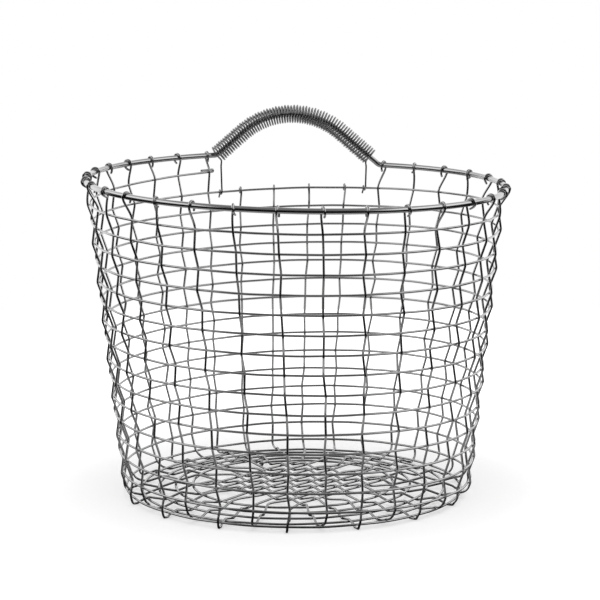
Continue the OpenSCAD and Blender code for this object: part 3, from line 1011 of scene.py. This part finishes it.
@dataclass
class Uprights:
    """Sixteen wires that cross the base's middle and rise as two uprights each, and the one odd upright."""

    plan: BasketPlan
    weave: Weave
    finish: Finish
    sides: int = 10
    steps_per_crossing: int = 16
    wall_kink: float = 0.985
    base_kink: float = 0.992
    cross_give: float = 0.08
    sideways: float = 0.0005
    hang_width: float = 0.42
    loop_height: float = 0.003
    hook_lead: float = 18.0
    curled_spread: float = 0.0021
    open_spread: float = 0.0012
    curled_tip: tuple[float, float] = (0.0008, -0.0046)
    open_tip: tuple[float, float] = (-0.0027, -0.0042)
    curled_heading: tuple[float, float] = (0.9, -0.4)
    open_heading: tuple[float, float] = (0.45, -0.9)
    rng: np.random.Generator = field(default_factory=lambda: np.random.default_rng(7))

    def woven(self, i: int) -> Path:
        """The woven part of an upright, from the innermost crossing up to the topmost one.

        It follows the weave's side view through its crossings with the weaver, and stands off by
        d w(u) along the weave's outward side, with w the kinked wave. At the foot the outer bends hang lower.

        Args:
            i: Number of the upright.

        Returns:
            The middle line.
        """
        p, weave = self.plan, self.weave
        turn = np.arange(1 if p.under_handle(i) else 0, weave.turns)
        azimuth = weave.crossing_azimuth(np.array(i), turn)
        jitter = self.rng.normal(0, 1, len(turn)) * self.sideways
        hooked = weave.weaver(azimuth)
        plain = self._on_side(azimuth, azimuth)
        u = np.linspace(turn[-1], turn[0], (len(turn) - 1) * self.steps_per_crossing + 1)
        here = np.interp(u, turn, azimuth - 360 * turn)
        off = np.stack([np.interp(u, turn, (hooked - plain)[:, k]) for k in range(3)], -1)
        full = here + 360 * u
        middle = self._on_side(full, here) + off
        facing = np.radians(weave.facing(full))[:, None]
        normal = outward(here) * np.cos(facing) - UP * np.sin(facing)
        base_share = np.clip((u - weave.wall_turns) / 1.5, 0, 1)
        kink = self.wall_kink + (self.base_kink - self.wall_kink) * base_share
        wave = np.arcsin(kink * np.cos(np.pi * u)) / np.arcsin(kink) * weave.passes(i, 0)
        side_step = np.interp(u, turn, jitter)
        points = middle + normal * (p.wire_d + 0.00002) * wave[:, None] + around(here) * side_step[:, None]
        points = self._hang(i, u, turn, azimuth, points)
        return Path(points, around(here))

    def _on_side(self, azimuth: np.ndarray, place: np.ndarray) -> np.ndarray:
        """Point of the weave's side view, carried to a place round the basket."""
        s = self.weave.length((azimuth - self.plan.seam) / 360)
        side = self.weave.side(s)
        return outward(place) * side[..., :1] + UP * side[..., 1:]

    def _hang(
        self, i: int, u: np.ndarray, turn: np.ndarray, azimuth: np.ndarray, points: np.ndarray
    ) -> np.ndarray:
        """Lets the outer bends at the foot hang, down to the table.

        Each hangs by drop cos^2(pi x / 2 w), with x the crossings from the bend's lowest place.

        Args:
            i: Number of the upright.
            u: Crossings passed at each point.
            turn: Numbers of the crossings.
            azimuth: Azimuths of the crossings.
            points: The upright's points.

        Returns:
            The points with the bends let down.
        """
        p, weave = self.plan, self.weave
        s = weave.length((azimuth - p.seam) / 360) - weave.wall_len - weave.foot_len / 2
        share = np.clip(2 - 4 * np.abs(s) / weave.base_pitch, 0, 1)
        outside = np.array([weave.passes(i, int(t)) > 0 for t in turn])
        drop = (share * outside)[None, :] * p.foot_drop
        x = np.clip((u[:, None] - turn[None, :] - 0.1) / self.hang_width, -1, 1)
        low = (drop * np.cos(np.pi * x / 2) ** 2).sum(1)
        points = points - UP * low[:, None]
        points[:, 2] = np.maximum(points[:, 2], p.wire_d / 2)
        return points

    def _clasp(
        self, middle: np.ndarray, side: np.ndarray, up: np.ndarray, along: np.ndarray,
        radii: tuple[float, float], first: float, wrap: float, spread: float,
    ) -> Path:
        """A bend round a rod or wire: c + a side cos t + b up sin t, stepped sideways as it goes round.

        Args:
            middle: Middle of what it clasps.
            side: Direction in which it starts.
            up: Direction over which it goes.
            along: Direction of what it clasps.
            radii: Its reach sideways, and upwards over the top.
            first: Angle at which it starts.
            wrap: Degrees that it goes round.
            spread: Distance between its two sides, along what it clasps.

        Returns:
            The middle line.
        """
        count = int(wrap / 12)
        t = np.linspace(0, 1, count + 1)[:, None]
        a = np.radians(first + wrap * t)
        high = np.where(np.sin(a) > 0, radii[1], radii[0])
        points = middle + radii[0] * side * np.cos(a) + high * up * np.sin(a) + along * spread * (t - 0.5)
        return Path(points, np.broadcast_to(along, points.shape))

    def hooked(self, i: int) -> Path:
        """The upright's woven part with its upper end: a hook over the rim, or a loop on the first turn.

        Args:
            i: Number of the upright.

        Returns:
            The middle line from the innermost crossing to the upright's end.
        """
        p, weave = self.plan, self.weave
        woven = self.woven(i)
        if p.under_handle(i):
            azimuth = weave.crossing_azimuth(np.array(i), np.array(0))
            normal, along = weave.normal(azimuth), around(azimuth)
            r = p.wire_d + 0.00002
            loop = self._clasp(
                weave.weaver(azimuth), weave.passes(i, 0) * normal, np.cross(normal, along), along,
                (r, self.loop_height), 0, p.loop_wrap, 0.0004,
            )
            return joined(woven, bridge(woven, loop, 0.7, 12), loop)
        return self._hook(i, woven)

    def _hook(self, i: int, woven: Path) -> Path:
        """The upright's woven part with a hook over the rim, whose tip curls back below the rod.

        Across the rod, with x towards the upright's own side and z up, the hook is an arc r (cos t, sin t) over
        the top, and then a cubic to its tip. A tip that ends outside the basket curls in to touch the upright.

        Args:
            i: Number of the upright.
            woven: Its woven part.

        Returns:
            The middle line from the innermost crossing to the hook's tip.
        """
        p = self.plan
        side = -self.weave.passes(i, 0)
        azimuth = np.array(p.hook_azimuth(i))
        along, out = around(azimuth), side * outward(azimuth)
        curled = side < 0
        spread = (self.curled_spread if curled else self.open_spread) + self.rng.normal(0, self.sideways)
        r = (p.rim_rod_d + p.wire_d) / 2 + 0.00004
        middle = p.rim_point(azimuth)
        hook = self._clasp(middle, out, UP, along, (r, r), -self.hook_lead, 180 + 2 * self.hook_lead, spread)
        tip = np.array(self.curled_tip if curled else self.open_tip) + self.rng.normal(0, 0.0003, 2)
        heading = unit(np.array(self.curled_heading if curled else self.open_heading))
        at = middle + out * tip[0] + UP * tip[1] + along * spread * 0.6
        end = Path(
            np.stack([at, at + (out * heading[0] + UP * heading[1]) * 0.0006]), np.broadcast_to(along, (2, 3))
        )
        return joined(woven, bridge(woven, hook, 0.75, 14), hook, bridge(hook, end, 0.9, 10), end)

    def crossed(self, w: int) -> Path:
        """The part of a wire that crosses the base's middle, over and under the wires the other way.

        Args:
            w: Number of the wire: the first half run one way, and the others across them.

        Returns:
            The middle line.
        """
        p = self.plan
        n = p.patch_wires
        cross_run = w >= n
        facing = np.array(p.patch_azimuth + (90 if cross_run else 0))
        m, half = w % n, (n - 1) / 2
        first = 1 if (m + (n - 1 if cross_run else 0) + self.weave.turns + 1) % 2 == 0 else -1
        q = np.linspace(0, n - 1, (n - 1) * self.steps_per_crossing + 1)
        wave = kinked(q, 0.98) * first * (-self.cross_give if cross_run else 1 - self.cross_give)
        lift = self.weave.inner_z + (p.wire_d + 0.00004) * wave
        points = (
            (half - q)[:, None] * p.patch_step * outward(facing)
            + (m - half) * p.patch_step * around(facing)
            + lift[:, None] * UP
        )
        return Path(points, np.broadcast_to(around(facing), points.shape))

    def pair(self, w: int) -> Path:
        """One whole wire that makes two uprights.

        Args:
            w: Number of the wire, 0 to 15.

        Returns:
            The middle line from one upper end to the other.
        """
        n = self.plan.patch_wires
        near, far = self._of_exit(w), self._of_exit((3 if w < n else 5) * n - 1 - w)
        first, middle, last = self.hooked(near).reverse(), self.crossed(w), self.hooked(far).flip()
        return joined(first, bridge(first, middle, 0.6, 12), middle, bridge(middle, last, 0.6, 12), last)

    def _of_exit(self, number: int) -> int:
        """Number of the upright that leaves the crossed middle at an exit."""
        return number + 4 * self.plan.patch_wires - 1 if number < 2 else number - 1

    def odd(self) -> Path:
        """The odd upright, which clasps the innermost turn.

        Returns:
            The middle line from its foot to its hook.
        """
        p, weave = self.plan, self.weave
        azimuth = weave.crossing_azimuth(np.array(0), np.array(weave.turns))
        normal, along = weave.normal(azimuth), around(azimuth)
        r = p.wire_d + 0.00002
        foot = self._clasp(
            weave.weaver(azimuth), weave.passes(0, weave.turns) * normal, np.cross(along, normal), along,
            (r, r), 0, p.loop_wrap, 0.0,
        ).reverse()
        rise = self.hooked(0)
        return joined(foot, bridge(foot, rise, 0.6, 12), rise)

    def build(self, material: bpy.types.Material) -> list[bpy.types.Object]:
        """Makes all the uprights, each in place of its plain solid.

        Args:
            material: The wires' finish.

        Returns:
            The pieces made.
        """
        lines = {"odd_upright": self.odd()}
        lines.update({f"upright_pair_{w + 1:02d}": self.pair(w) for w in range(2 * self.plan.patch_wires)})
        made = []
        for name, line in lines.items():
            piece = WireMesh(f"{name}_bright", line, self.plan.wire_d, self.sides).build(material, self.finish.slot)
            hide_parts(name)
            made.append(piece)
        return made


@dataclass
class Studio:
    """Pale floor, white surroundings, soft lamps and the camera."""

    camera_from: tuple[float, float, float] = (0.0, -2.17402, 0.5471)
    camera_yaw: float = 0.00146
    camera_pitch: float = 0.17245
    camera_roll: float = -0.00442
    camera_lens: float = 152.94
    floor_half: float = 0.9
    floor_tone: float = 0.62
    floor_glow: float = 0.42
    shadow_reach: tuple[float, float] = (0.17, 0.42)
    table_tone: float = 0.45
    table_reach: tuple[float, float] = (0.25, 0.45)
    # Ray lengths over which the painted contact shade in the floor's reflected glow gives way.
    contact_shade_reach: tuple[float, float] = (0.01, 0.2)
    sweep_start: tuple[float, float] = (0.3, 0.6)
    backdrop_side: tuple[float, float] = (0.45, 0.65)
    backdrop_top: float = 0.4
    matt_light: float = 0.8
    before: tuple[tuple[float, float], ...] = (
        (-1, 0.01), (-0.7, 0.003), (-0.15, 0.003), (0.08, 0.01), (0.4, 0.04), (0.75, 0.28), (1, 0.22),
    )
    behind: tuple[tuple[float, float], ...] = ((-1, 0.02), (0, 0.02), (0.4, 0.8), (0.8, 0.35), (1, 0.22))
    beside: tuple[tuple[float, float], ...] = ((-1, 0.01), (-0.12, 0.01), (0.1, 0.1), (0.3, 1.2), (0.8, 1.2), (1, 0.22))
    beside_from: tuple[float, float] = (0.3, 0.6)
    lamps: tuple[tuple, ...] = (
        ("top_softbox", (0.0, -0.9, 1.8), (0.0, 0.0, 0.15), 1.3, 9.0),
        ("left_strip", (-1.6, -1.2, 0.9), (0.0, 0.0, 0.15), 0.4, 0.8),
        ("right_strip", (1.6, -1.2, 0.9), (0.0, 0.0, 0.15), 0.4, 0.8),
    )

    def place_camera(self) -> None:
        """Sets up the camera at the photograph's angle.

        The view turns right by yaw, down by pitch and about itself by roll, all in radians.
        """
        yaw, pitch, roll = self.camera_yaw, self.camera_pitch, self.camera_roll
        forward = np.array([math.sin(yaw) * math.cos(pitch), math.cos(yaw) * math.cos(pitch), -math.sin(pitch)])
        level = np.array([math.cos(yaw), -math.sin(yaw), 0])
        upward = np.cross(level, forward)
        right = level * math.cos(roll) + upward * math.sin(roll)
        top = -level * math.sin(roll) + upward * math.cos(roll)
        data = bpy.data.cameras.new("camera")
        data.lens = self.camera_lens
        data.sensor_width = 36
        camera = bpy.data.objects.new("camera", data)
        turned = Matrix(np.stack([right, top, -forward], 1).tolist()).to_4x4()
        camera.matrix_world = Matrix.Translation(Vector(self.camera_from)) @ turned
        bpy.context.scene.collection.objects.link(camera)
        bpy.context.scene.camera = camera

    def lay_floor(self) -> None:
        """Makes the floor.

        Seen by the camera it is white apart from the basket's soft shadow: the light that it scatters, and a
        glow that makes it up to white and fully hides the shadow far from the basket. In reflections it is black
        and only glows: a painted reflection of a table, brighter near the basket and far behind it, with painted
        contact shade where the reflecting wire is close to it.
        """
        mesh = bpy.data.meshes.new("floor")
        h = self.floor_half
        mesh.from_pydata([(-h, -h, 0), (h, -h, 0), (h, h, 0), (-h, h, 0)], [], [(0, 1, 2, 3)])
        floor = bpy.data.objects.new("floor", mesh)
        material = bpy.data.materials.new("pale_floor")
        material.use_nodes = True
        tree = material.node_tree
        shader = tree.nodes["Principled BSDF"]
        shader.inputs["Roughness"].default_value = 0.9
        shader.inputs["Specular IOR Level"].default_value = 0.0
        shader.inputs["Emission Color"].default_value = (1, 1, 1, 1)
        path = tree.nodes.new("ShaderNodeLightPath")
        place = tree.nodes.new("ShaderNodeTexCoord")
        distance = tree.nodes.new("ShaderNodeVectorMath")
        distance.operation = "LENGTH"
        split = tree.nodes.new("ShaderNodeSeparateXYZ")
        tree.links.new(place.outputs["Object"], distance.inputs[0])
        tree.links.new(place.outputs["Object"], split.inputs[0])
        glow = self._range(tree, distance.outputs["Value"], self.shadow_reach, (self.floor_glow, 1.0))
        lit = self._range(tree, distance.outputs["Value"], self.table_reach, (self.table_tone, 0.005))
        # Painted contact shade: in reflections the floor's glow fades where the ray from the wire is short.
        table = self._product(tree, lit, self._range(tree, path.outputs["Ray Length"], self.contact_shade_reach, (0.03, 1)))
        sweep = self._range(tree, split.outputs["Y"], self.sweep_start, (0.0, 1.0))
        seen = self._product(tree, glow, path.outputs["Is Camera Ray"])
        # Painted reflection: the floor's glow, seen only by glossy rays.
        painted_reflection_glow = self._product(tree, self._sum(tree, table, sweep), path.outputs["Is Glossy Ray"])
        tone = self._range(tree, path.outputs["Is Glossy Ray"], (0, 1), (self.floor_tone, 0.0))
        tree.links.new(tone, shader.inputs["Base Color"])
        tree.links.new(self._sum(tree, seen, painted_reflection_glow), shader.inputs["Emission Strength"])
        mesh.materials.append(material)
        bpy.context.scene.collection.objects.link(floor)

    def _range(
        self,
        tree: bpy.types.NodeTree,
        value: bpy.types.NodeSocket,
        given: tuple[float, float],
        wanted: tuple[float, float],
    ) -> bpy.types.NodeSocket:
        """Maps one range of values smoothly to another.

        Args:
            tree: Node tree to add to.
            value: The value mapped.
            given: Its range.
            wanted: The range that it is mapped to.

        Returns:
            The mapped value.
        """
        node = tree.nodes.new("ShaderNodeMapRange")
        node.interpolation_type = "SMOOTHSTEP"
        tree.links.new(value, node.inputs["Value"])
        for name, number in zip(("From Min", "From Max", "To Min", "To Max"), (*given, *wanted)):
            node.inputs[name].default_value = number
        return node.outputs["Result"]

    def _maths(
        self, tree: bpy.types.NodeTree, operation: str, a: bpy.types.NodeSocket, b: bpy.types.NodeSocket
    ) -> bpy.types.NodeSocket:
        """Joins two values in a node tree by one of Blender's operations."""
        node = tree.nodes.new("ShaderNodeMath")
        node.operation = operation
        tree.links.new(a, node.inputs[0])
        tree.links.new(b, node.inputs[1])
        return node.outputs[0]

    def _product(
        self, tree: bpy.types.NodeTree, a: bpy.types.NodeSocket, b: bpy.types.NodeSocket
    ) -> bpy.types.NodeSocket:
        """Multiplies two values in a node tree."""
        return self._maths(tree, "MULTIPLY", a, b)

    def _sum(
        self, tree: bpy.types.NodeTree, a: bpy.types.NodeSocket, b: bpy.types.NodeSocket
    ) -> bpy.types.NodeSocket:
        """Adds two values in a node tree."""
        return self._maths(tree, "ADD", a, b)

    def _blend(
        self, tree: bpy.types.NodeTree, share: bpy.types.NodeSocket, a: object, b: object
    ) -> bpy.types.NodeSocket:
        """Mixes two values or numbers: a where the share is 0, and b where it is 1."""
        node = tree.nodes.new("ShaderNodeMix")
        tree.links.new(share, node.inputs["Factor"])
        for socket, value in ((node.inputs[2], a), (node.inputs[3], b)):
            if isinstance(value, bpy.types.NodeSocket):
                tree.links.new(value, socket)
            else:
                socket.default_value = value
        return node.outputs[0]

    def _by_height(
        self, tree: bpy.types.NodeTree, height: bpy.types.NodeSocket, levels: tuple[tuple[float, float], ...]
    ) -> bpy.types.NodeSocket:
        """Brightness of the surroundings by height: straight lines between levels.

        Args:
            tree: Node tree to add to.
            height: Sine of the direction's elevation.
            levels: Pairs of a height and the brightness there.

        Returns:
            The brightness.
        """
        ramp = tree.nodes.new("ShaderNodeValToRGB")
        share = tree.nodes.new("ShaderNodeMapRange")
        share.inputs["From Min"].default_value = -1.0
        tree.links.new(height, share.inputs["Value"])
        tree.links.new(share.outputs["Result"], ramp.inputs["Fac"])
        stops = ramp.color_ramp.elements
        while len(stops) < len(levels):
            stops.new(0.5)
        for stop, (z, level) in zip(stops, levels):
            stop.position = (z + 1) / 2
            stop.color = (level, level, level, 1)
        return ramp.outputs["Color"]

    def light(self) -> None:
        """Sets the surroundings and the lamps.

        The camera sees white. Matt surfaces get an even light. Polished ones see a photographer's studio: a
        white backdrop behind the basket, a wide softbox above and in front, and darker walls and floor.
        """
        world = bpy.data.worlds.new("surroundings")
        world.use_nodes = True
        bpy.context.scene.world = world
        tree = world.node_tree
        path = tree.nodes.new("ShaderNodeLightPath")
        split = tree.nodes.new("ShaderNodeSeparateXYZ")
        tree.links.new(tree.nodes.new("ShaderNodeTexCoord").outputs["Generated"], split.inputs[0])
        x, y, z = (split.outputs[name] for name in "XYZ")
        front = self._range(tree, y, (0.25, -0.25), (0, 1))
        walls = self._blend(
            tree, front, self._by_height(tree, z, self.behind), self._by_height(tree, z, self.before)
        )
        aside = self._range(tree, self._product(tree, x, x), self.beside_from, (0, 1))
        studio = self._blend(tree, aside, walls, self._by_height(tree, z, self.beside))
        low = self._range(tree, self._product(tree, z, z), (self.backdrop_top**2, self.backdrop_top**2 / 3), (0, 1))
        backdrop = self._product(tree, self._range(tree, y, self.backdrop_side, (0, 1)), low)
        strong = self._blend(tree, backdrop, studio, 1.0)
        unseen = self._blend(tree, path.outputs["Is Glossy Ray"], self.matt_light, strong)
        seen = self._blend(tree, path.outputs["Is Camera Ray"], unseen, 1.0)
        tree.links.new(seen, tree.nodes["Background"].inputs["Color"])
        for name, place, aim, size, power in self.lamps:
            self._lamp(name, place, aim, size, power)

    def _lamp(
        self, name: str, place: tuple[float, float, float], aim: tuple[float, float, float], size: float, power: float
    ) -> None:
        """Adds a square soft lamp.

        Args:
            name: Name of the lamp.
            place: Where it stands.
            aim: Point that it faces.
            size: Length of its side.
            power: Its power in watts.
        """
        data = bpy.data.lights.new(name, "AREA")
        data.shape = "SQUARE"
        data.size = size
        data.energy = power
        lamp = bpy.data.objects.new(name, data)
        lamp.location = place
        lamp.visible_glossy = False
        lamp.rotation_mode = "QUATERNION"
        lamp.rotation_quaternion = (Vector(aim) - Vector(place)).to_track_quat("-Z", "Y")
        bpy.context.scene.collection.objects.link(lamp)

    def build(self) -> None:
        """Sets up the camera, the floor and the light."""
        self.place_camera()
        self.lay_floor()
        self.light()
        bpy.context.scene.view_settings.view_transform = "Standard"


WIRE_FINISH = Finish(Slot.WIRE, (0.61, 0.61, 0.615), 0.06, 0.06, 0.15, 9.0)
RIM_FINISH = Finish(Slot.RIM, (0.62, 0.62, 0.625), 0.09, 0.08, 0.18, 16.0)
# The coil's tint is darker than the rest of the steel: painted shade on the same bright steel.
COIL_SHADED_FINISH = Finish(Slot.COIL, (0.38, 0.38, 0.385), 0.10, 0.07, 0.18, 8.0)


def main() -> None:
    """Builds the studio and the basket in order, and reports each piece."""
    logging.basicConfig(level=logging.INFO, format="%(name)s: %(message)s")
    Studio().build()
    drawing = DrawnSurface()
    plan = BasketPlan()
    weave = Weave(plan)
    bow = RimAndBow(plan, RIM_FINISH)
    parts = [
        bow,
        WeaverWire(plan, weave, WIRE_FINISH),
        Uprights(plan, weave, WIRE_FINISH),
        CoiledGrip(plan, weave, bow, COIL_SHADED_FINISH),
    ]
    materials = {finish: finish.material(drawing) for finish in (WIRE_FINISH, RIM_FINISH, COIL_SHADED_FINISH)}
    for part in parts:
        for piece in part.build(materials[part.finish]):
            LOG.info("%s: %d faces", piece.name, len(piece.data.polygons))


if __name__ == "__main__":
    main()
